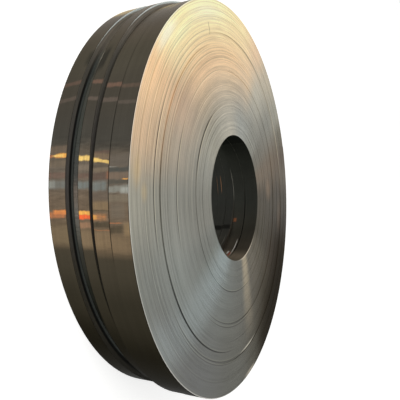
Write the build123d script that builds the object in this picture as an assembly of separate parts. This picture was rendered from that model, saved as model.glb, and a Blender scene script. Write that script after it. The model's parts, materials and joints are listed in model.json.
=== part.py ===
from build123d import *
import os

# A steel coil slit into five narrow strips, each wound on itself, stacked on the floor with the bore upright.
# Lengths are in millimetres. Z runs up the stack. The three lower strips lie off centre along +Y.
# The origin is on the floor, under the middle of the set's outline.

# The winding: the bore is that of the slitter's mandrel.
BORE_DIAMETER = 508.0
COIL_DIAMETER = 1524.0

# Strip widths, from the top of the stack down.
TOP_WIDTH = 64.0
SECOND_WIDTH = 54.0
THIRD_WIDTH = 40.0
FOURTH_WIDTH = 42.0
BOTTOM_WIDTH = 63.0

# How much less than the coil's diameter each strip's own winding measures.
SECOND_SHORTFALL = 2.0
THIRD_SHORTFALL = 8.0
FOURTH_SHORTFALL = 66.0
BOTTOM_SHORTFALL = 6.0

# How far the three lower strips lie off the centre of the two upper ones.
LOWER_OFFSET = 20.0

# The outer turns of the three lower strips have dropped, which opens a gap under the second strip.
# Each of these cones starts a little further in than the one above it, so that they nest freely.
DROP = 12.0
DROPPED_TURNS = 72.0
DROP_SLOPE = 130.0
NESTING_STEP = 2.0

# Two rings of the top strip's turns stand back from its face.
RIM_RING_FROM_RIM = 117.0
RIM_RING_WIDTH = 40.0
RIM_RING_DEPTH = 2.0
BORE_RING_FROM_BORE = 124.0
BORE_RING_WIDTH = 127.0
BORE_RING_DEPTH = 1.5

BORE_RADIUS = BORE_DIAMETER / 2
COIL_RADIUS = COIL_DIAMETER / 2


class Strip:
    """One narrow strip: the height of its inner turns, its own radius, its centre, and how far in its cone is."""

    def __init__(self, base, width, shortfall=0.0, centre=0.0, inward=0.0):
        self.base = base
        self.width = width
        self.radius = COIL_RADIUS - shortfall / 2
        self.centre = centre
        self.inward = inward


def flat_side(strip, height):
    """A side whose turns all lie level, from the bore to the rim."""
    return [(BORE_RADIUS, height), (strip.radius, height)]


def dropped_side(strip, height):
    """A side whose outer turns have dropped: level, then a cone, then level again out to the rim."""
    slope_end = COIL_RADIUS - DROPPED_TURNS - strip.inward
    slope_start = slope_end - DROP_SLOPE
    return [
        (BORE_RADIUS, height),
        (slope_start, height),
        (slope_end, height - DROP),
        (strip.radius, height - DROP),
    ]


def ring(inner_radius, width, height, depth):
    """Turns that stand back from a face: down, across and up again."""
    outer_radius = inner_radius + width
    return [
        (inner_radius, height),
        (inner_radius, height - depth),
        (outer_radius, height - depth),
        (outer_radius, height),
    ]


def ringed_side(strip, height):
    """The open face on top, with its two rings of turns that stand back."""
    bore_ring_inner = BORE_RADIUS + BORE_RING_FROM_BORE
    rim_ring_inner = strip.radius - RIM_RING_FROM_RIM - RIM_RING_WIDTH
    return [
        (BORE_RADIUS, height),
        *ring(bore_ring_inner, BORE_RING_WIDTH, height, BORE_RING_DEPTH),
        *ring(rim_ring_inner, RIM_RING_WIDTH, height, RIM_RING_DEPTH),
        (strip.radius, height),
    ]


def turned(strip, under_side, upper_side, middle):
    """A strip's section, turned once round its own axis and set at its place off the middle."""
    outline = [*under_side, *reversed(upper_side)]
    section = make_face(Plane.XZ * Polyline(*outline, close=True))
    return Pos(0, strip.centre - middle, 0) * revolve(section, Axis.Z, 360)


def stack():
    """Every strip by its node's name, from the floor up."""
    bottom = Strip(DROP, BOTTOM_WIDTH, BOTTOM_SHORTFALL, LOWER_OFFSET, 2 * NESTING_STEP)
    fourth = Strip(bottom.base + BOTTOM_WIDTH, FOURTH_WIDTH, FOURTH_SHORTFALL, LOWER_OFFSET, NESTING_STEP)
    third = Strip(fourth.base + FOURTH_WIDTH, THIRD_WIDTH, THIRD_SHORTFALL, LOWER_OFFSET)
    second = Strip(third.base + THIRD_WIDTH, SECOND_WIDTH, SECOND_SHORTFALL)
    top = Strip(second.base + SECOND_WIDTH, TOP_WIDTH)
    sides = {
        "bottom_strip": (bottom, dropped_side, dropped_side),
        "fourth_strip": (fourth, dropped_side, dropped_side),
        "third_strip": (third, dropped_side, dropped_side),
        "second_strip": (second, flat_side, flat_side),
        "top_strip": (top, flat_side, ringed_side),
    }
    strips = [strip for strip, _, _ in sides.values()]
    furthest = max(strip.centre + strip.radius for strip in strips)
    nearest = min(strip.centre - strip.radius for strip in strips)
    middle = (furthest + nearest) / 2
    return {
        name: turned(strip, under(strip, strip.base), upper(strip, strip.base + strip.width), middle)
        for name, (strip, under, upper) in sides.items()
    }


os.makedirs("parts", exist_ok=True)
for name, solid in stack().items():
    export_step(solid, f"parts/{name}.step")
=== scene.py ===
import json
import math
import random

import bpy
import numpy as np
from mathutils import Matrix, Vector


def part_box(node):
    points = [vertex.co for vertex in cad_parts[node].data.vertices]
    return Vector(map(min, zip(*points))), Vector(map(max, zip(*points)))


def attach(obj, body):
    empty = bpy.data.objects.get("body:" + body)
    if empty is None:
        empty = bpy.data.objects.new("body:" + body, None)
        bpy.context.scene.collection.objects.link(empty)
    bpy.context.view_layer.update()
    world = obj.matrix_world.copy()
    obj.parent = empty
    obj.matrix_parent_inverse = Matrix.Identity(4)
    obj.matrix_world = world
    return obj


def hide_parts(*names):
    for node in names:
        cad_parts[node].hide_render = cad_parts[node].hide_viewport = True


# The looks of a steel coil that was slit into five narrow strips, stacked on the floor with the bore upright.
# Lengths are in metres. Angles round the coil are in degrees from -X towards +Y, seen from above.

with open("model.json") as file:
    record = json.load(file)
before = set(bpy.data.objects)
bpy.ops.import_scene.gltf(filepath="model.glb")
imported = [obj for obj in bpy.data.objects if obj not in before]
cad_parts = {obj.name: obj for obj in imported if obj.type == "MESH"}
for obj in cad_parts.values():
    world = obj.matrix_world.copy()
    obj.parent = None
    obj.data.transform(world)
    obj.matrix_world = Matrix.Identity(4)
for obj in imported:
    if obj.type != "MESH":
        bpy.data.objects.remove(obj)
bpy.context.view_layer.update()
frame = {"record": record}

BORE_RADIUS = frame["record"]["mounts"][0]["dims"]["r_mm"] / 1000

# The strip is three millimetres thick, which sets the pitch of the turns.
STRIP_THICKNESS = 0.003

# Faces in one turn, the share of its thickness that a rounded edge takes, and the depth of the grooves.
COLUMNS = 160
EDGE_ROUNDING = 0.08
GROOVE_DEPTH = 0.0005

# How far single turns may stand back on a strip's upper side and under it.
UPPER_REACH = 0.0008
UNDER_REACH = 0.0004

# How a group of turns slips: the least and most turns over which it passes to its own depth, how many turns
# it then holds, and how much more at most. The power makes small depths commoner than great ones.
SLIP = (0.12, 0.6)
HELD = (1.0, 1.4, 2.0, 3.0, 5.0, 7.0)
HELD_MORE = 0.6
SMALL_DEPTHS = 1.6

# How many outer turns show their own edges: on a ledge, between dropped strips, and where strips meet level.
LEDGE_TURNS = 24
NESTED_TURNS = 6
MEETING_TURNS = 4

# Edges that turn by more than this many degrees stay sharp.
SHARP_EDGE = 15.0

# The dropped outer turns of the three lower strips, and the rings in the top strip's face, as in the CAD.
# A ring has its inner and outer radius and its depth, which it reaches within a share of one turn.
COIL_RADIUS = 0.762
DROP = 0.012
DROPPED_TURNS = 0.072
DROP_SLOPE = 0.130
NESTING_STEP = 0.002
RIM_RING = (0.605, 0.645, 0.0020)
BORE_RING = (0.378, 0.505, 0.0015)
RING_SLIP = 0.3

# Where the outer tail and the inner head of each winding end, on the side away from the camera.
TAIL_ANGLE = 158.0


# Tones, written as they show on a screen from 0 to 255.

def tone(red, green, blue):
    """A screen colour as a linear colour."""
    def linear(level):
        share = level / 255
        return share / 12.92 if share <= 0.04045 else ((share + 0.055) / 1.055) ** 2.4
    return (linear(red), linear(green), linear(blue), 1.0)


STRAW = tone(255, 243, 196)
CREAM = tone(255, 240, 190)
PEACH = tone(246, 213, 170)
WARM_GREY = tone(160, 157, 144)
STONE = tone(143, 142, 133)
COOL_GREY = tone(136, 140, 135)
SLATE = tone(120, 121, 118)
DEEP_SLATE = tone(109, 109, 102)
# A pale blue for a painted reflection on the face.
PALE_BLUE_SHEEN = tone(158, 168, 168)
BEIGE = tone(180, 167, 142)
TAUPE = tone(116, 104, 90)
UMBER = tone(82, 76, 66)
DARK_UMBER = tone(52, 46, 37)
BLACK_UMBER = tone(38, 33, 25)
WHITE = (1, 1, 1, 1)
# An ochre for painted glints on the face.
OCHRE_GLINT = tone(206, 178, 128)


class Winding:
    """One strip as it is wound: its place from the frame, its turns and how its turns stand."""

    def __init__(self, name, seed, drop=0.0):
        low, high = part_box(name)
        self.name = name
        self.seed = seed
        self.drop = drop
        self.centre_y = (low.y + high.y) / 2
        self.radius = (high.y - low.y) / 2
        self.low = low.z
        self.high = high.z
        self.turns = round((self.radius - BORE_RADIUS) / STRIP_THICKNESS) - 1
        self.pitch = (self.radius - BORE_RADIUS) / (self.turns + 1)

    def radius_at(self, turn):
        return self.radius - self.pitch * turn

    def turn_at(self, radius):
        return (self.radius - radius) / self.pitch


# The sides of the strips, as heights by radius.

def level(height):
    return lambda radius: np.full_like(radius, height)


def dropped(height, inward):
    """Level, then a cone down, then level again out to the rim."""
    slope_end = COIL_RADIUS - DROPPED_TURNS - inward
    slope_start = slope_end - DROP_SLOPE
    return lambda radius: height - DROP * np.clip((radius - slope_start) / (slope_end - slope_start), 0, 1)


def standing_back(winding, reach, rings=()):
    """How far each turn stands back from the face, by winding position.

    Groups of turns slipped together. The rings of the open face follow the winding and are sunk further.
    """
    draw = random.Random(winding.seed)
    # The outermost two turns stand at the face.
    positions = [0.0, 2.0]
    depths = [0.0, 0.0]
    while positions[-1] < winding.turns + 3:
        slip = draw.uniform(*SLIP)
        held = draw.choice(HELD) + draw.uniform(0, HELD_MORE)
        depth = reach * draw.random() ** SMALL_DEPTHS
        positions += [positions[-1] + slip, positions[-1] + slip + held]
        depths += [depth, depth]
    spans = [(winding.turn_at(outer), winding.turn_at(inner), depth) for inner, outer, depth in rings]

    def at(position):
        sunk = np.interp(position, positions, depths)
        for start, end, depth in spans:
            sunk = sunk + depth * np.clip(np.minimum(position - start, end - position) / RING_SLIP, 0, 1)
        return sunk
    return at


class Rows:
    """Rows of points round the winding, each a list of columns, which faces join into surfaces."""

    def __init__(self, winding):
        self.winding = winding
        self.points = []
        self.faces = []
        self.materials = []
        self.angles = np.linspace(0, 1, COLUMNS + 1)

    def row(self, turn, height, stand=None, stand_turn=None, sunk=0.0):
        """Adds a row that starts at a winding position and goes once round, and returns its first index."""
        start = len(self.points)
        radius = self.winding.radius_at(turn + self.angles)
        heights = height(radius) + sunk
        if stand is not None:
            heights = heights + stand(stand_turn + self.angles)
        bearing = np.radians(TAIL_ANGLE) + 2 * np.pi * self.angles
        across = -radius * np.cos(bearing)
        along = self.winding.centre_y + radius * np.sin(bearing)
        self.points.extend(zip(across.tolist(), along.tolist(), heights.tolist()))
        return start

    def join(self, outer, inner, material, flip):
        """Faces between two rows."""
        for column in range(COLUMNS):
            face = (outer + column, outer + column + 1, inner + column + 1, inner + column)
            self.faces.append(face[::-1] if flip else face)
            self.materials.append(material)

    def cap(self, corners, material):
        self.faces.append(tuple(corners))
        self.materials.append(material)


EDGE, RIM, BORE = range(3)


def side_rows(rows, height, stand, detailed, breaks, facing_up):
    """The slit edges of the turns on one side: each turn's own edge where it shows, plain between.

    The plain part bends only at the breaks, which are radii.
    """
    winding = rows.winding
    sink = -1 if facing_up else 1
    turned_in = (lambda position: sink * stand(position))
    starts = [rows.row(0, height, turned_in, 0, sink * GROOVE_DEPTH)]
    turn = 0
    while turn < winding.turns:
        if detailed(turn):
            starts.append(rows.row(turn + EDGE_ROUNDING, height, turned_in, turn))
            starts.append(rows.row(turn + 1 - EDGE_ROUNDING, height, turned_in, turn))
            last = turn + 1 == winding.turns
            if not last:
                deeper = (lambda position: sink * np.maximum(stand(position), stand(position + 1)))
                starts.append(rows.row(turn + 1, height, deeper, turn, sink * GROOVE_DEPTH))
            turn += 1
        else:
            following = turn
            while following < winding.turns and not detailed(following):
                following += 1
            for radius in breaks:
                position = winding.turn_at(radius)
                if turn < position < following:
                    starts.append(rows.row(position, height))
            turn = following
    starts.append(rows.row(winding.turns, height, turned_in, winding.turns - 1, sink * GROOVE_DEPTH))
    finishes = [RIM] + [EDGE] * (len(starts) - 3) + [BORE]
    for outer, inner, material in zip(starts, starts[1:], finishes):
        rows.join(outer, inner, material, flip=not facing_up)
    return starts


def wound_strip(winding, under, upper, under_shown, upper_shown, materials, rings=()):
    """A strip's whole surface: both sides, the rim, the wall of the bore, and the ends of tail and head."""
    rows = Rows(winding)
    breaks = [COIL_RADIUS - DROPPED_TURNS, COIL_RADIUS - DROPPED_TURNS - DROP_SLOPE]
    upper_stand = standing_back(winding, UPPER_REACH, rings)
    under_stand = standing_back(winding, UNDER_REACH)
    above = side_rows(rows, upper, upper_stand, upper_shown, breaks, facing_up=True)
    below = side_rows(rows, under, under_stand, under_shown, breaks, facing_up=False)
    rows.join(below[0], above[0], RIM, flip=False)
    rows.join(above[-1], below[-1], BORE, flip=False)
    tail = [above[0], above[1], above[2], above[3], below[3], below[2], below[1], below[0]]
    rows.cap(tail, RIM)
    head = [above[-4], above[-3], above[-2], above[-1], below[-1], below[-2], below[-3], below[-4]]
    rows.cap([start + COLUMNS for start in reversed(head)], BORE)
    mesh = bpy.data.meshes.new(winding.name + "_winding")
    mesh.from_pydata(rows.points, [], rows.faces)
    mesh.polygons.foreach_set("material_index", rows.materials)
    mesh.polygons.foreach_set("use_smooth", [True] * len(rows.faces))
    for material in materials:
        mesh.materials.append(material)
    mesh.set_sharp_from_angle(angle=math.radians(SHARP_EDGE))
    mesh.validate()
    piece = bpy.data.objects.new(winding.name + "_winding", mesh)
    bpy.context.scene.collection.objects.link(piece)
    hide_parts(winding.name)
    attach(piece, "root")
    return piece


# Nodes

class Desk:
    """A node tree with short ways to add what the finishes need."""

    def __init__(self, tree):
        self.tree = tree

    def add(self, kind, **settings):
        node = self.tree.nodes.new(kind)
        for name, value in settings.items():
            setattr(node, name, value)
        return node

    def feed(self, socket, value):
        """Joins an output to an input, or sets the input to a plain value."""
        if isinstance(value, bpy.types.NodeSocket):
            self.tree.links.new(value, socket)
        elif value is not None:
            socket.default_value = value

    def math(self, operation, *parts):
        node = self.add("ShaderNodeMath", operation=operation)
        for socket, part in zip(node.inputs, parts):
            self.feed(socket, part)
        return node.outputs[0]

    def plus(self, one, other):
        return self.math("ADD", one, other)

    def minus(self, one, other):
        return self.math("SUBTRACT", one, other)

    def times(self, one, other):
        return self.math("MULTIPLY", one, other)

    def over(self, one, other):
        return self.math("DIVIDE", one, other)

    def size(self, value):
        return self.math("ABSOLUTE", value)

    def apart(self, one, other):
        """How far two values are apart."""
        return self.size(self.minus(one, other))

    def round_from(self, angle, middle):
        """How far an angle lies from another, the short way round."""
        return self.math("WRAP", self.minus(angle, middle), 180.0, -180.0)

    def weighed(self, parts):
        """The sum of parts that each waver round a half, by their weights."""
        total = 0.0
        for part, weight in parts:
            total = self.plus(total, self.times(self.minus(part, 0.5), weight))
        return total

    def ease(self, value, low, high, to_low=0.0, to_high=1.0):
        """A smooth step of a value between two limits."""
        node = self.add("ShaderNodeMapRange", interpolation_type="SMOOTHSTEP")
        for socket, part in zip(node.inputs, (value, low, high, to_low, to_high)):
            self.feed(socket, part)
        return node.outputs[0]

    def fade(self, value, low, high):
        """The whole of something up to one limit, which is gone at the other."""
        return self.ease(value, low, high, 1.0, 0.0)

    def scale(self, value, low, high, to_low, to_high):
        """A value carried from one range to another in a straight line."""
        node = self.add("ShaderNodeMapRange")
        for socket, part in zip(node.inputs, (value, low, high, to_low, to_high)):
            self.feed(socket, part)
        return node.outputs[0]

    def mix(self, factor, under, over, blend="MIX"):
        node = self.add("ShaderNodeMix", data_type="RGBA", blend_type=blend)
        self.feed(node.inputs["Factor"], factor)
        self.feed(node.inputs[6], under)
        self.feed(node.inputs[7], over)
        return node.outputs[2]

    def noise(self, vector, scale, detail=2.0, rough=0.5):
        node = self.add("ShaderNodeTexNoise", noise_dimensions="3D")
        self.feed(node.inputs["Vector"], vector)
        node.inputs["Scale"].default_value = scale
        node.inputs["Detail"].default_value = detail
        node.inputs["Roughness"].default_value = rough
        return node.outputs["Fac"]

    def vector(self, x, y, z):
        node = self.add("ShaderNodeCombineXYZ")
        for socket, value in zip(node.inputs, (x, y, z)):
            self.feed(socket, value)
        return node.outputs[0]

    def split(self, vector):
        """The three parts of a vector."""
        node = self.add("ShaderNodeSeparateXYZ")
        self.feed(node.inputs[0], vector)
        return node.outputs

    def ramp(self, angle, stops):
        """Colours by the angle round the coil, from -180 degrees and round to the first one again."""
        node = self.add("ShaderNodeValToRGB")
        node.color_ramp.interpolation = "EASE"
        self.feed(node.inputs[0], self.scale(angle, -180.0, 180.0, 0.0, 1.0))
        elements = node.color_ramp.elements
        stops = stops + [(180, stops[0][1])]
        while len(elements) < len(stops):
            elements.new(0.5)
        for element, (degrees, colour) in zip(elements, stops):
            element.position = (degrees + 180) / 360
            element.color = colour
        return node.outputs[0]

    def place(self, shared, **given):
        """Places a shader group, with its inputs by name."""
        node = self.add("ShaderNodeGroup", node_tree=shared)
        for name, value in given.items():
            self.feed(node.inputs[name.replace("_", " ")], value)
        return node.outputs


def values(*labels):
    return [(label, "NodeSocketFloat") for label in labels]


def colours(*labels):
    return [(label, "NodeSocketColor") for label in labels]


def vectors(*labels):
    return [(label, "NodeSocketVector") for label in labels]


def group(name, inputs, outputs):
    """A new shader group with named inputs and outputs, and its desk."""
    tree = bpy.data.node_groups.new(name, "ShaderNodeTree")
    for way, sockets in (("INPUT", inputs), ("OUTPUT", outputs)):
        for label, kind in sockets:
            tree.interface.new_socket(name=label, in_out=way, socket_type=kind)
    desk = Desk(tree)
    given = desk.add("NodeGroupInput").outputs
    made = desk.add("NodeGroupOutput").inputs
    return tree, desk, given, made


def wound_place_group():
    """Where a point lies on a winding: radius, angle, share of the way in, and the turn it is on."""
    inputs = values("Centre Y", "Rim Radius", "Pitch")
    outputs = values("Radius", "Angle", "Inward", "Turn") + vectors("Round")
    tree, desk, given, made = group("wound_place", inputs, outputs)
    x, y, z = desk.split(desk.add("ShaderNodeTexCoord").outputs["Object"])
    across = desk.times(x, -1.0)
    along = desk.minus(y, given["Centre Y"])
    radius = desk.math("SQRT", desk.plus(desk.times(x, x), desk.times(along, along)))
    angle = desk.math("DEGREES", desk.math("ARCTAN2", along, across))
    from_rim = desk.minus(given["Rim Radius"], radius)
    past_tail = desk.math("WRAP", desk.minus(angle, TAIL_ANGLE), 360.0, 0.0)
    turns_in = desk.over(from_rim, given["Pitch"])
    desk.feed(made["Radius"], radius)
    desk.feed(made["Angle"], angle)
    desk.feed(made["Inward"], desk.over(from_rim, desk.minus(given["Rim Radius"], BORE_RADIUS)))
    desk.feed(made["Turn"], desk.minus(turns_in, desk.over(past_tail, 360.0)))
    desk.feed(made["Round"], desk.vector(desk.over(across, radius), desk.over(along, radius), z))
    return tree


def fan_group():
    """A painted sheen that fans out over the face, a colour laid over the one below in a slanting range of
    angles. A dark one lays painted shade.
    """
    inputs = colours("Under", "Sheen") + values(
        "Angle", "Inward", "Centre At Rim", "Centre At Bore", "Width At Rim", "Width At Bore",
        "Strength At Rim", "Strength At Bore")
    tree, desk, given, made = group("sheen_fan", inputs, colours("Colour"))

    def between(label):
        return desk.scale(given["Inward"], 0.0, 1.0, given[label + " At Rim"], given[label + " At Bore"])

    away = desk.round_from(given["Angle"], between("Centre"))
    share = desk.over(desk.size(away), between("Width"))
    strength = desk.times(desk.fade(share, 0.2, 1.8), between("Strength"))
    desk.feed(made["Colour"], desk.mix(strength, given["Under"], given["Sheen"]))
    return tree


def glint_group():
    """A soft patch of light on the face, laid over the colour below, with a ragged outline."""
    inputs = colours("Under", "Glint") + values(
        "Angle", "Share", "Ragged", "Middle", "Half Reach", "Ring", "Half Depth", "Strength")
    tree, desk, given, made = group("face_glint", inputs, colours("Colour"))
    round_share = desk.over(desk.round_from(given["Angle"], given["Middle"]), given["Half Reach"])
    depth_share = desk.over(desk.minus(given["Share"], given["Ring"]), given["Half Depth"])
    square = desk.plus(desk.times(round_share, round_share), desk.times(depth_share, depth_share))
    from_middle = desk.plus(desk.math("SQRT", square), desk.times(given["Ragged"], 0.8))
    strength = desk.times(desk.fade(from_middle, 0.1, 1.3), given["Strength"])
    desk.feed(made["Colour"], desk.mix(strength, given["Under"], given["Glint"]))
    return tree


def turn_line_group():
    """One turn that stands out of line over part of its round: a painted shade line with a painted highlight
    beside it.
    """
    inputs = colours("Under") + values(
        "Turn", "Angle", "Line Turn", "Width", "Middle", "Half Reach", "Dark", "Light")
    tree, desk, given, made = group("turn_line", inputs, colours("Colour"))
    share = desk.over(desk.size(desk.round_from(given["Angle"], given["Middle"])), given["Half Reach"])
    reach = desk.fade(share, 0.35, 1.0)
    off = desk.over(desk.minus(given["Turn"], given["Line Turn"]), given["Width"])
    dark = desk.times(desk.fade(desk.size(off), 0.3, 1.0), reach)
    light = desk.times(desk.fade(desk.apart(off, 1.5), 0.3, 1.1), reach)
    darkened = desk.mix(desk.times(dark, given["Dark"]), given["Under"], tone(28, 26, 22))
    lightened = desk.mix(desk.times(light, given["Light"]), darkened, tone(240, 236, 224), blend="SOFT_LIGHT")
    desk.feed(made["Colour"], lightened)
    return tree


def turn_tones_group():
    """The tone of each turn's slit edge. No two reflect quite alike, and groups of turns fade in and out."""
    inputs = values("Turn") + vectors("Round") + values("Depth")
    tree, desk, given, made = group("turn_tones", inputs, values("Tone", "Height"))
    single = desk.add("ShaderNodeTexWhiteNoise", noise_dimensions="1D")
    desk.feed(single.inputs["W"], desk.math("FLOOR", given["Turn"]))
    x, y, z = desk.split(given["Round"])

    def bands(per_turn, round_share, detail):
        turn = desk.times(given["Turn"], per_turn)
        place = desk.vector(turn, desk.times(x, round_share), desk.times(y, round_share))
        return desk.noise(place, 1.0, detail)

    fine = bands(0.62, 1.1, 1.0)
    broad = bands(0.13, 0.9, 2.0)
    scratches = bands(0.85, 6.5, 2.0)
    total = desk.weighed([(single.outputs["Value"], 0.5), (fine, 0.9), (broad, 0.22), (scratches, 1.0)])
    desk.feed(made["Tone"], desk.plus(1.0, desk.times(total, given["Depth"])))
    desk.feed(made["Height"], desk.plus(fine, desk.times(scratches, 0.4)))
    return tree


def rim_band_group():
    """A reflection across a strip's skin, a colour laid over the one below, over part of the strip's width.

    It may lean, so that it lies further round at the upper edge than at the lower one.
    """
    inputs = colours("Under", "Band") + values(
        "Angle", "Share", "Centre", "Half Width", "Strength", "Lean", "From", "To", "Streaks")
    tree, desk, given, made = group("rim_band", inputs, colours("Colour"))
    leaning = desk.times(given["Lean"], desk.minus(given["Share"], 0.5))
    away = desk.apart(desk.minus(given["Angle"], given["Centre"]), leaning)
    mask = desk.fade(desk.over(away, given["Half Width"]), 0.5, 1.5)
    above = desk.ease(desk.minus(given["Share"], given["From"]), -0.12, 0.12)
    below = desk.ease(desk.minus(given["To"], given["Share"]), -0.12, 0.12)
    ragged = desk.scale(given["Streaks"], 0.3, 0.7, 0.55, 1.0)
    strength = desk.times(desk.times(mask, given["Strength"]), ragged)
    strength = desk.times(strength, desk.times(above, below))
    desk.feed(made["Colour"], desk.mix(strength, given["Under"], given["Band"]))
    return tree


def rolling_group():
    """Fine streaks that rolling left along a skin, by the height on the strip and the angle round it."""
    inputs = vectors("Round") + values("Depth")
    tree, desk, given, made = group("rolling_streaks", inputs, values("Tone", "Height", "Streaks"))
    x, y, z = desk.split(given["Round"])

    def along(height_scale, round_share, detail):
        height = desk.times(z, height_scale)
        place = desk.vector(desk.times(x, round_share), desk.times(y, round_share), height)
        return desk.noise(place, 1.0, detail)

    fine = along(900.0, 2.5, 2.0)
    broad = along(110.0, 1.6, 2.0)
    clouds = along(14.0, 5.0, 3.0)
    total = desk.weighed([(fine, 0.5), (broad, 0.45), (clouds, 0.5)])
    desk.feed(made["Tone"], desk.plus(1.0, desk.times(total, given["Depth"])))
    desk.feed(made["Height"], fine)
    desk.feed(made["Streaks"], broad)
    return tree


WOUND_PLACE = wound_place_group()
SHEEN_FAN = fan_group()
FACE_GLINT = glint_group()
TURN_LINE = turn_line_group()
TURN_TONES = turn_tones_group()
RIM_BAND = rim_band_group()
ROLLING = rolling_group()


def finish(name, roughness, edge_tint, gloss=0.0):
    """A metal finish: its desk and its shader. The edge tint is the reflection at a grazing look.

    It starts as plain metal of one roughness, and each finish may vary both. Where it is less than metal, the
    gloss is that of its surface.
    """
    material = bpy.data.materials.new(name)
    material.use_nodes = True
    desk = Desk(material.node_tree)
    shader = material.node_tree.nodes["Principled BSDF"]
    shader.inputs["Metallic"].default_value = 1.0
    shader.inputs["Roughness"].default_value = roughness
    shader.inputs["Specular Tint"].default_value = edge_tint
    shader.inputs["Specular IOR Level"].default_value = gloss
    return material, desk, shader


def place_on(desk, winding):
    """Where a point lies on a winding, for one of its finishes."""
    return desk.place(WOUND_PLACE, Centre_Y=winding.centre_y, Rim_Radius=winding.radius, Pitch=winding.pitch)


def toned(desk, colour, value):
    """A colour made lighter or darker by a value round one."""
    return desk.mix(1.0, colour, desk.vector(value, value, value), blend="MULTIPLY")


def grooved(desk, colour, turn, share):
    """Darkens the narrow grooves between one turn and the next with painted shade."""
    off = desk.apart(turn, desk.math("ROUND", turn))
    groove = desk.ease(off, 0.5 * EDGE_ROUNDING, 1.3 * EDGE_ROUNDING, share, 0.0)
    return desk.mix(groove, colour, tone(24, 22, 18))


# How deep the bump is on slit edges and on the skins, in metres.
EDGE_BUMP = 0.0003
SKIN_BUMP = 0.0001


def bump(desk, shader, height, distance):
    node = desk.add("ShaderNodeBump")
    node.inputs["Strength"].default_value = 1.0
    node.inputs["Distance"].default_value = distance
    desk.feed(node.inputs["Height"], height)
    desk.feed(shader.inputs["Normal"], node.outputs[0])


# The painted light and shade round the face, warm and bright towards +90 degrees and dark umber in shade near
# -135, in three rings: by the rim, in the middle and by the bore.
NEAR_RIM = [
    (-180, tone(76, 70, 62)), (-169, tone(61, 55, 50)), (-156, DARK_UMBER), (-135, BLACK_UMBER),
    (-116, DARK_UMBER), (-104, tone(84, 81, 71)), (-86, tone(103, 103, 96)), (-58, tone(114, 115, 113)),
    (-38, SLATE), (-20, tone(127, 129, 123)), (0, WARM_GREY), (14, tone(208, 180, 148)),
    (30, tone(240, 205, 162)), (44, CREAM), (76, STRAW), (96, tone(252, 232, 185)),
    (112, tone(236, 208, 174)), (124, tone(198, 187, 166)), (142, WARM_GREY), (152, tone(112, 107, 94)),
    (161, tone(92, 81, 70)), (170, tone(104, 96, 85)),
]
MIDWAY = [
    (-180, tone(76, 70, 61)), (-168, tone(66, 61, 54)), (-150, tone(60, 52, 43)), (-128, tone(62, 56, 45)),
    (-108, tone(94, 90, 80)), (-80, DEEP_SLATE), (-56, tone(120, 122, 118)), (-30, COOL_GREY), (0, STONE),
    (16, tone(169, 156, 138)), (32, tone(194, 168, 142)), (52, tone(238, 204, 163)), (84, PEACH),
    (104, tone(236, 208, 172)), (118, tone(196, 190, 174)), (138, STONE), (160, tone(109, 96, 81)),
]
NEAR_BORE = [
    (-180, UMBER), (-150, tone(66, 61, 50)), (-134, tone(92, 86, 73)), (-120, tone(106, 100, 88)),
    (-92, tone(115, 116, 110)), (-62, tone(130, 135, 131)), (-42, tone(128, 132, 126)),
    (-28, tone(123, 124, 118)), (-14, tone(130, 129, 121)), (15, STONE), (40, WARM_GREY),
    (76, tone(189, 184, 170)), (100, tone(165, 166, 159)), (130, STONE), (144, tone(120, 116, 106)),
    (160, TAUPE),
]

# Painted slanting sheens over the face: a pale blue reflection, a beige streak of light and dark umber shade.
# Each has its colour, centre, half width and strength at the rim, then at the bore.
FANS = [
    (PALE_BLUE_SHEEN, (-36, 6, 0.20), (-57, 11, 0.75)),
    (BEIGE, (-101, 4, -0.35), (-105, 5.5, 0.87)),
    (BLACK_UMBER, (-134, 21, 1.10), (-168, 12, -1.10)),
]

# Patches of light on the face: colour, angle and half reach in degrees, radius and half depth as shares of
# the rim's radius, and strength.
GLINTS = [
    (tone(255, 252, 230), 41.5, 7.0, 0.967, 0.030, 0.72),
    (tone(255, 252, 205), 49.0, 9.0, 0.912, 0.028, 0.60),
    (tone(255, 250, 222), 68.0, 14.0, 0.940, 0.050, 0.45),
    (OCHRE_GLINT, 5.5, 4.0, 0.950, 0.030, 0.42),
    (OCHRE_GLINT, 1.0, 2.5, 0.903, 0.024, 0.34),
    (tone(170, 178, 176), -35.0, 9.0, 0.960, 0.050, 0.25),
    (tone(226, 220, 204), -99.0, 8.0, 0.838, 0.006, 0.80),
    (tone(214, 204, 186), -99.0, 5.0, 0.990, 0.012, 0.60),
    (tone(232, 220, 198), -116.0, 26.0, 0.337, 0.008, 0.80),
    (tone(222, 214, 196), 130.0, 46.0, 0.8450, 0.005, 0.90),
    (tone(158, 132, 104), -172.0, 9.0, 0.800, 0.060, 0.15),
    (tone(152, 128, 104), 174.0, 8.0, 0.560, 0.060, 0.40),
]
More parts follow.
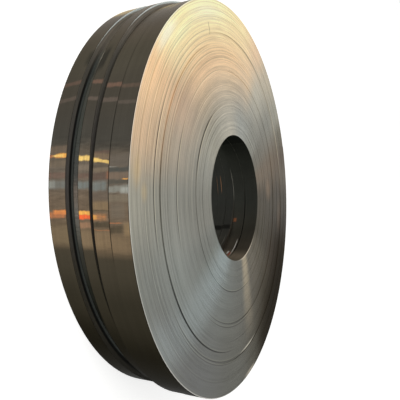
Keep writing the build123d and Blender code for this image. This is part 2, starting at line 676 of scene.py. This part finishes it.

# Turns that stand out of line, shown as a painted shade line with a painted highlight beside it: radius as a
# share of the rim's, middle and half reach in degrees, width in turns, how dark the line is and how light the
# one beside it.
TURN_LINES = [
    (0.838, -62, 40, 0.9, 0.50, 0.4),
    (0.852, -62, 40, 0.8, 0.35, 0.4),
    (0.838, 6, 26, 1.0, 0.85, 0.6),
    (0.838, 34, 30, 0.8, 0.25, 0.5),
    (0.793, -52, 42, 0.9, 0.80, 0.2),
    (0.786, 38, 40, 0.8, 0.25, 0.3),
    (0.672, 4, 26, 1.0, 0.80, 0.7),
    (0.672, 42, 40, 0.8, 0.20, 0.5),
    (0.674, -82, 34, 0.9, 0.50, 0.3),
    (0.656, -80, 36, 0.9, 0.50, 0.3),
    (0.499, 31, 26, 1.3, 0.75, 0.8),
    (0.497, -90, 38, 1.0, 0.75, 0.4),
    (0.905, 20, 60, 0.7, 0.20, 0.4),
    (0.930, -50, 60, 0.7, 0.20, 0.2),
    (0.885, -20, 50, 0.6, 0.20, 0.2),
    (0.960, 40, 50, 0.6, 0.15, 0.5),
    (0.975, -30, 40, 0.6, 0.25, 0.3),
    (0.862, 40, 46, 0.7, 0.30, 0.5),
    (0.815, 30, 50, 0.7, 0.25, 0.5),
    (0.760, 40, 46, 0.7, 0.25, 0.5),
    (0.730, 85, 50, 0.7, 0.25, 0.4),
    (0.590, 24, 50, 0.8, 0.25, 0.4),
    (0.540, 14, 34, 0.8, 0.20, 0.4),
    (0.460, 40, 40, 0.7, 0.20, 0.4),
    (0.420, -60, 50, 0.7, 0.20, 0.3),
    (0.395, 20, 50, 0.7, 0.20, 0.3),
]

# A short dark scratch across the turns: its angle and half width in degrees, its span as shares of the rim's
# radius, and its strength.
SCRATCH = (67.5, 0.35, 0.842, 0.886, 0.42)

# The middle of the side that lies in shade, in degrees, where the face shines less.
SHADE_ANGLE = -136.0


def face_tones(desk, angle, inward):
    """The painted light and shade over the open face, from its rim to its bore, under painted slanting
    sheens.
    """
    outer = desk.mix(desk.ease(inward, 0.05, 0.45), desk.ramp(angle, NEAR_RIM), desk.ramp(angle, MIDWAY))
    colour = desk.mix(desk.ease(inward, 0.31, 0.88), outer, desk.ramp(angle, NEAR_BORE))
    for sheen, at_rim, at_bore in FANS:
        colour = desk.place(
            SHEEN_FAN, Under=colour, Sheen=sheen, Angle=angle, Inward=inward,
            Centre_At_Rim=at_rim[0], Width_At_Rim=at_rim[1], Strength_At_Rim=at_rim[2],
            Centre_At_Bore=at_bore[0], Width_At_Bore=at_bore[1], Strength_At_Bore=at_bore[2],
        )["Colour"]
    return colour


def lit_outer_turn(desk, colour, place):
    """The light along the outermost turn, strongest on the near half of the round."""
    outermost = desk.fade(place["Turn"], 0.6, 1.6)
    in_light = desk.ease(desk.apart(place["Angle"], 15.0), 70.0, 100.0, 0.42, 0.1)
    return desk.mix(desk.times(outermost, in_light), colour, tone(244, 241, 228), blend="SCREEN")


def shaded_walls(desk, colour, angle):
    """Darkens the small walls between turns that stand back, on the near half of the round."""
    facing_up = desk.split(desk.add("ShaderNodeNewGeometry").outputs["True Normal"])["Z"]
    on_near_half = desk.ease(desk.size(angle), 60.0, 100.0, 0.16, 0.0)
    return desk.mix(desk.ease(facing_up, 0.5, 0.95, on_near_half, 0.0), colour, tone(52, 47, 38))


def scratched(desk, colour, place, rim_radius):
    """The scratch across the turns, which fades at its ends."""
    bearing, half_width, inner, outer, strength = SCRATCH
    end = 0.01
    across = desk.ease(desk.apart(place["Angle"], bearing), 0.4 * half_width, half_width, strength, 0.0)
    past_inner = desk.ease(place["Radius"], (inner - end) * rim_radius, inner * rim_radius)
    past_outer = desk.fade(place["Radius"], outer * rim_radius, (outer + end) * rim_radius)
    return desk.mix(desk.times(across, desk.times(past_inner, past_outer)), colour, tone(92, 74, 56))


def open_face(winding):
    """The slit edges of the top strip, painted warm and bright on one side and in painted shade on the other.
    """
    material, desk, shader = finish("slit_edges_open_face", 0.42, tone(226, 226, 224))
    place = place_on(desk, winding)
    angle = place["Angle"]
    inward = place["Inward"]
    colour = face_tones(desk, angle, inward)
    tones = desk.place(TURN_TONES, Turn=place["Turn"], Round=place["Round"], Depth=0.45)
    rim_share = desk.over(place["Radius"], winding.radius)
    ragged = desk.minus(tones["Tone"], 1.0)
    for glint, middle, reach, ring, depth, strength in GLINTS:
        colour = desk.place(
            FACE_GLINT, Under=colour, Glint=glint, Angle=angle, Share=rim_share, Ragged=ragged, Middle=middle,
            Half_Reach=reach, Ring=ring, Half_Depth=depth, Strength=strength,
        )["Colour"]
    colour = toned(desk, colour, tones["Tone"])
    for share, middle, reach, width, dark, light in TURN_LINES:
        colour = desk.place(
            TURN_LINE, Under=colour, Turn=place["Turn"], Angle=angle,
            Line_Turn=winding.turn_at(share * winding.radius), Width=width, Middle=float(middle),
            Half_Reach=float(reach), Dark=dark, Light=light,
        )["Colour"]
    colour = grooved(desk, colour, place["Turn"], 0.22)
    colour = lit_outer_turn(desk, colour, place)
    colour = shaded_walls(desk, colour, angle)
    colour = scratched(desk, colour, place, winding.radius)
    in_shade = desk.fade(desk.apart(angle, SHADE_ANGLE), 20.0, 42.0)
    shade = desk.times(in_shade, desk.ease(inward, 0.9, 0.2))
    desk.feed(shader.inputs["Metallic"], desk.scale(shade, 0.0, 1.0, 1.0, 0.2))
    desk.feed(shader.inputs["Base Color"], colour)
    desk.feed(shader.inputs["Roughness"], desk.scale(tones["Tone"], 0.8, 1.2, 0.36, 0.50))
    bump(desk, shader, tones["Height"], EDGE_BUMP)
    return material


# The painted light, shade and reflections of the ledges and of the skins, by the angle round the coil.
LEDGE_TONES = [
    (-180, UMBER), (-120, DARK_UMBER), (-60, tone(44, 42, 35)), (-20, tone(70, 66, 56)),
    (0, tone(84, 80, 76)), (28, tone(88, 84, 76)), (44, tone(128, 120, 108)), (100, tone(118, 110, 98)),
    (130, WARM_GREY),
]
LEDGE_GLARE = tone(226, 235, 232)
LEDGE_FOOT = tone(86, 90, 86)


def covered_face(winding, glare_width, glare_start, foot):
    """The slit edges of a strip that another lies on, which show as ledges.

    The painted glare runs along the ledge's outer turns, and the foot is how far in the strip above stands.
    Inside the foot, on the near side, the ledge is painted bluish grey, and a dark line along the foot is
    painted shadow.
    """
    material, desk, shader = finish(winding.name + "_slit_edges", 0.55, tone(205, 205, 203), 0.5)
    place = place_on(desk, winding)
    angle = place["Angle"]
    tones = desk.place(TURN_TONES, Turn=place["Turn"], Round=place["Round"], Depth=0.6)
    colour = desk.ramp(angle, LEDGE_TONES)
    if foot:
        from_foot = desk.minus(place["Radius"], winding.radius - foot)
        near_side = desk.fade(angle, 30.0, 40.0)
        within = desk.times(near_side, desk.fade(from_foot, -0.002, 0.001))
        colour = desk.mix(within, colour, LEDGE_FOOT)
        # A dark line along the foot, painted shadow, which weakens between 22 and 42 degrees.
        line = desk.ease(desk.size(from_foot), 0.003, 0.005, 0.97, 0.0)
        colour = desk.mix(desk.times(line, desk.ease(angle, 22.0, 42.0, 1.0, 0.12)), colour, tone(6, 6, 5))
    begun = desk.ease(angle, glare_start - 2.0, glare_start + 3.0)
    widening = desk.times(desk.ease(angle, glare_start, 64.0, 0.25, 1.0), begun)
    reach = desk.math("MAXIMUM", desk.times(widening, glare_width), 0.0001)
    inside = desk.over(desk.minus(winding.radius, place["Radius"]), reach)
    glare = desk.times(desk.fade(inside, 0.7, 1.1), desk.fade(angle, 100.0, 125.0))
    colour = desk.mix(glare, colour, LEDGE_GLARE)
    colour = grooved(desk, toned(desk, colour, tones["Tone"]), place["Turn"], 0.5)
    shader.inputs["Metallic"].default_value = 0.4
    desk.feed(shader.inputs["Base Color"], colour)
    bump(desk, shader, tones["Height"], EDGE_BUMP)
    return material


SKIN_TONES = [
    (-180, tone(96, 90, 80)), (-120, tone(76, 71, 62)), (-75, tone(34, 32, 26)), (-58, tone(25, 24, 19)),
    (-40, tone(32, 30, 24)), (-24, tone(53, 49, 39)), (-13.0, tone(70, 64, 52)), (-10.5, tone(108, 92, 72)),
    (-3, tone(112, 97, 80)), (4, tone(108, 98, 86)), (8.5, tone(96, 87, 75)), (10.5, tone(74, 71, 64)),
    (22, tone(76, 71, 62)), (32, tone(83, 78, 67)), (46, tone(101, 92, 80)), (56, tone(114, 101, 82)),
    (75, tone(122, 108, 86)), (100, tone(104, 96, 83)), (140, tone(100, 93, 82)),
]
RECESS_TONES = [
    (-180, UMBER), (-60, tone(34, 32, 26)), (-46, tone(40, 38, 32)), (-38, tone(66, 65, 57)),
    (-31, tone(40, 40, 33)), (-23, tone(58, 60, 52)), (-15, tone(84, 84, 76)), (-9, tone(134, 131, 120)),
    (-5, tone(166, 160, 150)), (-1, tone(164, 150, 136)), (4, tone(108, 109, 104)),
    (14, tone(102, 105, 98)), (27, tone(104, 103, 94)), (36, tone(184, 178, 162)),
    (46, tone(166, 158, 144)), (90, tone(130, 124, 112)), (130, TAUPE),
]

# Colours of the painted reflections on the skins.
GOLD = tone(255, 214, 126)
AMBER = tone(255, 186, 92)
EMBER = tone(255, 112, 62)
COPPER = tone(206, 128, 80)
ROSE = tone(124, 96, 84)
MIST = tone(126, 133, 129)
HAZE = tone(176, 178, 168)
SAND_GREY = tone(134, 118, 98)
OLIVE = tone(72, 66, 52)
TAN = tone(126, 110, 85)
GOLD_HIGHLIGHT = tone(196, 172, 112)

# Painted reflections across each skin, light and dark, and a dark smudge near 31 degrees that crosses the
# strips:
# colour, middle and half width in degrees, and strength. Where one doesn't cross the whole width upright, its
# lean follows, in degrees from the lower edge to the upper one, and the part of the width that it covers,
# from the lower edge.
WHOLE_WIDTH = (0.0, 0.0, 1.0)
TOP_BANDS = [
    (tone(118, 96, 82), 23.4, 0.45, 0.5, -0.4, 0.0, 1.0),
    (tone(112, 100, 90), 19.5, 0.4, 0.5, -0.4, 0.0, 1.0),
    (tone(108, 100, 90), 7.2, 1.2, 0.8),
    (HAZE, 5.9, 0.1, 0.5, 0.0, 0.0, 0.35),
    (tone(76, 79, 75), 5.3, 0.45, 0.9),
    (tone(128, 110, 94), 4.1, 0.6, 0.9),
    (AMBER, 3.4, 0.13, 1.0, 0.0, 0.72, 0.95),
    (tone(82, 82, 74), 2.9, 0.4, 0.8),
    (tone(146, 147, 137), 1.55, 0.6, 0.88, 0.3, 0.0, 1.0),
    (HAZE, 1.2, 0.55, 0.8, 0.0, 0.6, 1.0),
    (tone(134, 124, 106), -0.3, 0.7, 0.7),
    (tone(118, 108, 94), -2.8, 1.5, 0.8, 0.0, 0.1, 0.8),
    (COPPER, -5.15, 0.12, 0.5, 0.0, 0.0, 0.6),
    (OLIVE, -6.4, 0.7, 0.85, 0.5, 0.0, 0.66),
    (tone(166, 140, 102), -6.4, 1.3, 0.7, 0.0, 0.72, 1.0),
    (tone(134, 114, 88), -9.3, 1.7, 0.8),
    (tone(166, 148, 104), 57.0, 3.0, 0.7, 3.0, 0.15, 0.45),
    (tone(150, 134, 104), 62.0, 4.0, 0.6, 4.0, 0.5, 0.8),
]
SECOND_BANDS = [
    (tone(134, 104, 88), 24.3, 0.55, 0.75, -0.3, 0.0, 1.0),
    (tone(116, 102, 92), 20.6, 0.5, 0.65, -0.3, 0.0, 1.0),
    (ROSE, 9.0, 0.3, 0.5),
    (tone(140, 118, 94), 8.2, 0.6, 0.8, -0.4, 0.0, 1.0),
    (GOLD, 7.3, 0.30, 1.0, -0.8, 0.0, 1.0),
    (GOLD, 7.55, 0.42, 0.9, 0.0, 0.0, 0.30),
    (SAND_GREY, 5.4, 0.45, 0.8),
    (tone(100, 82, 72), 4.1, 0.8, 0.9),
    (COPPER, 4.3, 0.7, 0.4, 0.0, 0.88, 1.0),
    (MIST, 2.2, 0.95, 0.85, 0.0, 0.0, 0.88),
    (tone(106, 95, 84), 0.3, 0.8, 0.7),
    (tone(142, 120, 90), -1.8, 0.9, 0.9),
    (OLIVE, -2.7, 0.13, 0.6),
    (COPPER, -3.8, 0.09, 0.7, -0.5, 0.0, 0.8),
    (COPPER, -4.15, 0.08, 0.6, 0.5, 0.0, 0.7),
    (tone(190, 134, 86), -4.0, 0.7, 0.6, 0.0, 0.0, 0.85),
    (AMBER, -4.0, 0.45, 0.8, 0.0, 0.0, 0.2),
    (OLIVE, -5.5, 0.5, 0.85),
    (COPPER, -6.65, 0.1, 0.4),
    (tone(140, 118, 90), -8.6, 1.8, 0.85),
    (GOLD_HIGHLIGHT, 60.0, 4.0, 0.8, 4.0, 0.3, 1.0),
]
THIRD_BANDS = [
    (tone(134, 104, 88), 24.2, 0.5, 0.8, -0.4, 0.0, 1.0),
    (tone(116, 102, 92), 19.9, 0.45, 0.7, -0.4, 0.0, 1.0),
    (tone(100, 90, 78), 8.0, 0.5, 0.6),
    (tone(42, 42, 40), 31.5, 3.2, 0.95, 3.0, 0.0, 0.55),
    (GOLD, 6.6, 0.5, 1.0, -0.15, 0.0, 1.0),
    (tone(134, 120, 104), 4.6, 0.6, 0.8),
    (ROSE, 2.9, 0.5, 0.5),
    (MIST, 1.0, 0.75, 0.8),
    (AMBER, -4.7, 0.42, 1.0),
    (EMBER, -5.5, 0.42, 1.0),
    (tone(160, 124, 96), -7.2, 0.6, 0.9),
    (tone(136, 116, 90), -10.1, 1.8, 0.9),
]
BOTTOM_BANDS = [
    (tone(46, 47, 43), 32.0, 2.2, 0.7, 0.0, 0.75, 1.0),
    (tone(124, 98, 84), 24.6, 0.5, 0.6, 0.5, 0.0, 1.0),
    (tone(112, 98, 88), 20.4, 0.5, 0.6, 0.5, 0.0, 1.0),
    (tone(120, 104, 88), 8.8, 0.8, 0.85),
    (COPPER, 7.45, 0.3, 0.6),
    (AMBER, 7.5, 0.45, 0.9, 0.0, 0.4, 1.0),
    (GOLD, 7.5, 0.22, 0.9, 0.0, 0.2, 0.8),
    (SAND_GREY, 5.8, 0.7, 0.5),
    (ROSE, 3.3, 0.6, 0.6),
    (MIST, 1.3, 0.85, 0.6),
    (HAZE, 1.4, 0.8, 0.5, 0.0, 0.05, 0.35),
    (tone(246, 154, 84), -4.5, 0.46, 0.9, 0.0, 0.25, 1.0),
    (COPPER, -5.1, 0.6, 0.75, 0.0, 0.0, 0.9),
    (TAN, -9.4, 2.0, 0.8),
    (tone(214, 184, 120), 57.0, 4.0, 0.85),
    (tone(24, 23, 18), -38.0, 9.0, 0.45),
]
RECESS_BANDS = [
    (tone(36, 38, 36), 31.0, 3.0, 0.62),
]


# A band that reaches an edge of the strip runs on past it by this share of the width.
PAST_EDGE = 0.2

# Where the seam between two strips is dark and where it has faded, from the edge of the skin.
SEAM_DARK = 0.0008
SEAM_FADED = 0.0026


def rim_skin(winding, outer_low, outer_high, bands, tones=SKIN_TONES, metallic=1.0, tight=None):
    """The outer turn's skin, dark and glossy, with painted reflections across it, and its tones by angle are
    painted light and shade.

    On the tight side, the seam to the next strip hardly shows on the lower half of the round.
    """
    material, desk, shader = finish(winding.name + "_skin", 0.24, tone(188, 187, 185))
    place = place_on(desk, winding)
    angle = place["Angle"]
    streaks = desk.place(ROLLING, Round=place["Round"], Depth=0.5)
    x, y, height = desk.split(place["Round"])
    share = desk.scale(height, outer_low, outer_high, 0.0, 1.0)

    def patches(per_degree, per_width, layer, detail, rough):
        spot = desk.vector(desk.times(angle, per_degree), desk.times(share, per_width), outer_low * layer)
        return desk.minus(desk.noise(spot, 1.0, detail, rough), 0.5)

    glints = patches(1.7, 0.9, 90, 4.0, 0.75)
    waves = patches(0.8, 2.6, 70, 3.0, 0.6)
    # The glints are painted flickers of light, full within 9 degrees of the middle and faint past 13.
    lit_middle = desk.ease(desk.size(angle), 9.0, 13.0, 1.0, 0.12)
    colour = toned(desk, desk.ramp(angle, tones), streaks["Tone"])
    colour = toned(desk, colour, desk.plus(1.0, desk.times(desk.times(glints, lit_middle), 1.5)))
    wavering = desk.plus(angle, desk.plus(desk.times(glints, 0.3), desk.times(waves, 0.6)))
    for band, centre, half_width, strength, *part in bands:
        lean, low, high = part or WHOLE_WIDTH
        colour = desk.place(
            RIM_BAND, Under=colour, Band=band, Angle=wavering, Share=share, Centre=centre,
            Half_Width=half_width, Strength=strength, Lean=lean, From=low - PAST_EDGE if low == 0 else low,
            To=high + PAST_EDGE if high == 1 else high, Streaks=streaks["Streaks"],
        )["Colour"]
    # The dark seam line is partly the joint between strips and partly painted shade, weaker where light comes
    # in past 12 to 30 degrees.
    softer = desk.ease(angle, 12.0, 30.0, 0.85, 0.4)
    seam = desk.times(softer, desk.ease(angle, -15.0, -9.0, 0.1, 1.0))
    at_low = seam if tight == "below" else softer
    at_high = seam if tight == "above" else softer
    low_line = desk.ease(desk.minus(height, outer_low), SEAM_DARK, SEAM_FADED, at_low, 0.0)
    high_line = desk.ease(desk.minus(outer_high, height), SEAM_DARK, SEAM_FADED, at_high, 0.0)
    colour = desk.mix(desk.math("MAXIMUM", low_line, high_line), colour, tone(16, 15, 12))
    desk.feed(shader.inputs["Base Color"], colour)
    beside = desk.apart(angle, 8.0)
    fallen = desk.ease(beside, 34.0, 60.0, metallic, 0.22 * metallic)
    risen = desk.ease(beside, 95.0, 130.0, 0.0, 0.58 * metallic)
    desk.feed(shader.inputs["Metallic"], desk.plus(fallen, risen))
    desk.feed(shader.inputs["Roughness"], desk.scale(streaks["Tone"], 0.8, 1.2, 0.20, 0.30))
    bump(desk, shader, streaks["Height"], SKIN_BUMP)
    return material


# The bore's painted light and shade by angle, lighter where light comes in near -104 degrees.
BORE_TONES = [
    (-180, tone(54, 55, 50)), (-144, tone(56, 54, 47)), (-122, tone(78, 72, 62)),
    (-104, tone(138, 125, 107)), (-70, tone(76, 72, 60)), (-30, tone(48, 50, 46)), (40, tone(52, 55, 51)),
    (110, tone(50, 52, 46)),
]

# The same for the strips deep in the bore, where less light comes.
DEEP_BORE_TONES = [
    (-180, tone(52, 53, 49)), (-150, tone(50, 50, 46)), (-118, tone(66, 64, 58)), (-96, tone(96, 88, 76)),
    (-70, tone(60, 58, 50)), (-30, tone(48, 50, 46)), (40, tone(54, 56, 52)), (110, tone(50, 52, 46)),
]

# Lines round each bore wall: dark ones, mostly where the strips meet, and light and coloured ones that are
# painted glints and reflections. Each has its colour, height above the wall's lower edge, middle and half
# reach in degrees, half width and strength.
BORE_LINES = {
    "top_strip": [
        (tone(4, 4, 3), 0.0, -146.0, 56.0, 0.0044, 1.0),
        (tone(150, 146, 134), 0.063, -60.0, 60.0, 0.0015, 0.8),
    ],
    "second_strip": [
        (tone(196, 192, 178), 0.0, 166.0, 22.0, 0.0012, 0.8),
        (tone(240, 236, 226), 0.047, -121.0, 15.0, 0.0016, 0.9),
        (tone(190, 90, 72), 0.042, -109.0, 5.0, 0.0036, 0.8),
        (tone(235, 228, 218), 0.031, -112.5, 3.5, 0.0040, 0.8),
        (tone(176, 104, 62), 0.012, -157.0, 2.8, 0.0075, 0.40),
    ],
    "third_strip": [
        (tone(5, 5, 4), 0.020, -144.0, 3.6, 0.0240, 0.6),
        (tone(6, 6, 5), 0.0, -150.0, 30.0, 0.0020, 0.9),
        (tone(150, 144, 130), 0.030, -122.0, 14.0, 0.0009, 0.4),
    ],
    "fourth_strip": [
        (tone(5, 5, 4), 0.020, -142.5, 4.0, 0.0240, 0.7),
        (tone(186, 140, 100), 0.0, 170.0, 12.0, 0.0013, 0.7),
        (tone(176, 128, 90), 0.020, 169.0, 11.0, 0.0013, 0.6),
    ],
}


def bore_skin(winding):
    """The inner turn's skin, which the light hardly reaches."""
    material, desk, shader = finish(winding.name + "_bore_skin", 0.45, tone(120, 118, 112))
    shader.inputs["Metallic"].default_value = 0.7
    place = place_on(desk, winding)
    streaks = desk.place(ROLLING, Round=place["Round"], Depth=0.6)
    tones = BORE_TONES if winding.drop == 0 else DEEP_BORE_TONES
    colour = toned(desk, desk.ramp(place["Angle"], tones), streaks["Tone"])
    x, y, height = desk.split(place["Round"])
    above = desk.minus(height, winding.low + winding.drop)
    for line, level_above, middle, reach, width, strength in BORE_LINES.get(winding.name, []):
        away = desk.size(desk.round_from(place["Angle"], middle))
        in_line = desk.ease(desk.apart(above, level_above), 0.5 * width, 1.4 * width, strength, 0.0)
        mask = desk.times(in_line, desk.fade(away, 0.4 * reach, reach))
        colour = desk.mix(mask, colour, line)
    desk.feed(shader.inputs["Base Color"], colour)
    bump(desk, shader, streaks["Height"], SKIN_BUMP)
    return material


# The strips

def rim_only(winding, count):
    """Shows the first and last turns of a side that the next strip covers."""
    return lambda turn: turn < count or turn >= winding.turns - MEETING_TURNS


def every_turn(turn):
    return True


def make_upper_strips(top, second):
    """The two level strips. The top one shows every turn on its face, and a few round its edges below."""
    top_finishes = [
        open_face(top),
        rim_skin(top, top.low, top.high, TOP_BANDS, tight="below"),
        bore_skin(top),
    ]
    top_sides = (level(top.low), level(top.high), rim_only(top, MEETING_TURNS), every_turn)
    wound_strip(top, *top_sides, top_finishes, (RIM_RING, BORE_RING))
    second_finishes = [
        covered_face(second, 0.0, 0.0, 0.0),
        rim_skin(second, second.low, second.high, SECOND_BANDS, tight="above"),
        bore_skin(second),
    ]
    second_shown = (rim_only(second, LEDGE_TURNS), rim_only(second, MEETING_TURNS))
    wound_strip(second, level(second.low), level(second.high), *second_shown, second_finishes)


def make_lower_strips(third, fourth, bottom):
    """The three strips with dropped outer turns. The bottom one shows every turn underneath.

    For each: how far in its cone starts, its ledge's glare width, glare start and foot, and its skin.
    """
    lower = [
        (third, 0.0, (0.010, 38.5, 0.0), THIRD_BANDS, SKIN_TONES, 1.0),
        (fourth, NESTING_STEP, (0.0, 0.0, 0.0), RECESS_BANDS, RECESS_TONES, 0.3),
        (bottom, 2 * NESTING_STEP, (0.011, 33.0, 0.020), BOTTOM_BANDS, SKIN_TONES, 1.0),
    ]
    for winding, inward, ledge, bands, tones, metallic in lower:
        skin = rim_skin(winding, winding.low, winding.high - DROP, bands, tones, metallic)
        finishes = [covered_face(winding, *ledge), skin, bore_skin(winding)]
        under = dropped(winding.low + DROP, inward)
        upper = dropped(winding.high, inward)
        under_shown = every_turn if winding is bottom else rim_only(winding, NESTED_TURNS)
        wound_strip(winding, under, upper, under_shown, rim_only(winding, LEDGE_TURNS), finishes)


def make_strips():
    """All five windings, from the top down, each with the seed of its turns."""
    make_upper_strips(Winding("top_strip", 11), Winding("second_strip", 12))
    third = Winding("third_strip", 13, DROP)
    fourth = Winding("fourth_strip", 14, DROP)
    bottom = Winding("bottom_strip", 15, DROP)
    make_lower_strips(third, fourth, bottom)


# The floor, the light and the camera

# How strong the plain light on the object is.
PLAIN_LIGHT = 0.45

FLOOR_SIZE = 60.0

# What the floor gives of its own where it is seen directly: near the stack, where the shadow has to show, and
# beyond, and how far out it passes from the one to the other.
FLOOR_LIFT = 0.55
FAR_LIFT = 0.8
LIFT_STARTS = 2.0
LIFT_ENDS = 8.0


def pale_floor():
    """A plain pale floor, which reads white away from the shadow."""
    bpy.ops.mesh.primitive_plane_add(size=FLOOR_SIZE, location=(0, 0, 0))
    floor = bpy.context.object
    floor.name = "floor"
    material = bpy.data.materials.new("pale_floor")
    material.use_nodes = True
    desk = Desk(material.node_tree)
    shader = material.node_tree.nodes["Principled BSDF"]
    place = desk.add("ShaderNodeTexCoord").outputs["Object"]
    grain = desk.noise(place, 3.0, 4.0)
    desk.feed(shader.inputs["Base Color"], desk.mix(grain, tone(232, 232, 230), tone(240, 240, 238)))
    shader.inputs["Roughness"].default_value = 0.9
    shader.inputs["Specular IOR Level"].default_value = 0.0
    shader.inputs["Emission Color"].default_value = WHITE
    from_middle = desk.add("ShaderNodeVectorMath", operation="LENGTH")
    desk.feed(from_middle.inputs[0], place)
    lift = desk.ease(from_middle.outputs["Value"], LIFT_STARTS, LIFT_ENDS, FLOOR_LIFT, FAR_LIFT)
    seen = desk.add("ShaderNodeLightPath").outputs
    desk.feed(shader.inputs["Emission Strength"], desk.times(seen["Is Camera Ray"], lift))
    white = desk.add("ShaderNodeEmission")
    either = desk.add("ShaderNodeMixShader")
    desk.feed(either.inputs[0], desk.math("MAXIMUM", seen["Is Glossy Ray"], seen["Is Transmission Ray"]))
    desk.feed(either.inputs[1], shader.outputs[0])
    desk.feed(either.inputs[2], white.outputs[0])
    desk.feed(material.node_tree.nodes["Material Output"].inputs["Surface"], either.outputs[0])
    floor.data.materials.append(material)


def white_surround():
    """The world: plain light for the object, white for what is seen directly or in a reflection."""
    world = bpy.data.worlds.new("surround")
    bpy.context.scene.world = world
    world.use_nodes = True
    desk = Desk(world.node_tree)
    seen = desk.add("ShaderNodeLightPath").outputs
    reflected = desk.math("MAXIMUM", seen["Is Glossy Ray"], seen["Is Transmission Ray"])
    shown = desk.math("MAXIMUM", seen["Is Camera Ray"], reflected)
    background = world.node_tree.nodes["Background"]
    background.inputs["Color"].default_value = WHITE
    desk.feed(background.inputs["Strength"], desk.scale(shown, 0.0, 1.0, PLAIN_LIGHT, 1.0))


# The lamps' names, places, diameters in metres and powers in watts, and the point that they light.
LAMPS = [
    ("key_lamp", (-2.4, 3.2, 2.9), 4.2, 120.0),
    ("fill_lamp", (-2.8, -2.2, 2.2), 2.4, 35.0),
]
LAMP_TARGET = Vector((0, 0, 0.1))


def soft_lamp(name, place, size, power):
    """A round area lamp that points at the stack."""
    data = bpy.data.lights.new(name, "AREA")
    data.shape = "DISK"
    data.size = size
    data.energy = power
    lamp = bpy.data.objects.new(name, data)
    lamp.location = place
    lamp.rotation_euler = (LAMP_TARGET - Vector(place)).to_track_quat("-Z", "Y").to_euler()
    bpy.context.scene.collection.objects.link(lamp)


# The camera's lens, the ways in which the picture's right and up point, and where the camera stands, from the
# middle of the open face and in radii of it.
LENS = 39.46
SENSOR_WIDTH = 36.0
FARTHEST_SEEN = 200.0
PICTURE_RIGHT = (0.4399, -0.0147, 0.8979)
PICTURE_UP = (0.0, 0.9999, 0.0164)
FROM_FACE = (-2.203, -0.026, 0.855)


def camera():
    """The camera stands beside the stack and is rolled, so that the floor lies to the picture's left."""
    data = bpy.data.cameras.new("camera")
    data.lens = LENS
    data.sensor_width = SENSOR_WIDTH
    data.clip_end = FARTHEST_SEEN
    eye = bpy.data.objects.new("camera", data)
    right = Vector(PICTURE_RIGHT).normalized()
    back = right.cross(Vector(PICTURE_UP)).normalized()
    up = back.cross(right).normalized()
    turned = Matrix((right, up, back)).transposed().to_4x4()
    low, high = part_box("top_strip")
    radius = (high.y - low.y) / 2
    face_centre = Vector((0, (low.y + high.y) / 2, high.z))
    eye.matrix_world = Matrix.Translation(face_centre + Vector(FROM_FACE) * radius) @ turned
    bpy.context.scene.collection.objects.link(eye)
    bpy.context.scene.camera = eye


make_strips()
pale_floor()
white_surround()
for lamp in LAMPS:
    soft_lamp(*lamp)
camera()
bpy.context.scene.view_settings.view_transform = "Standard"
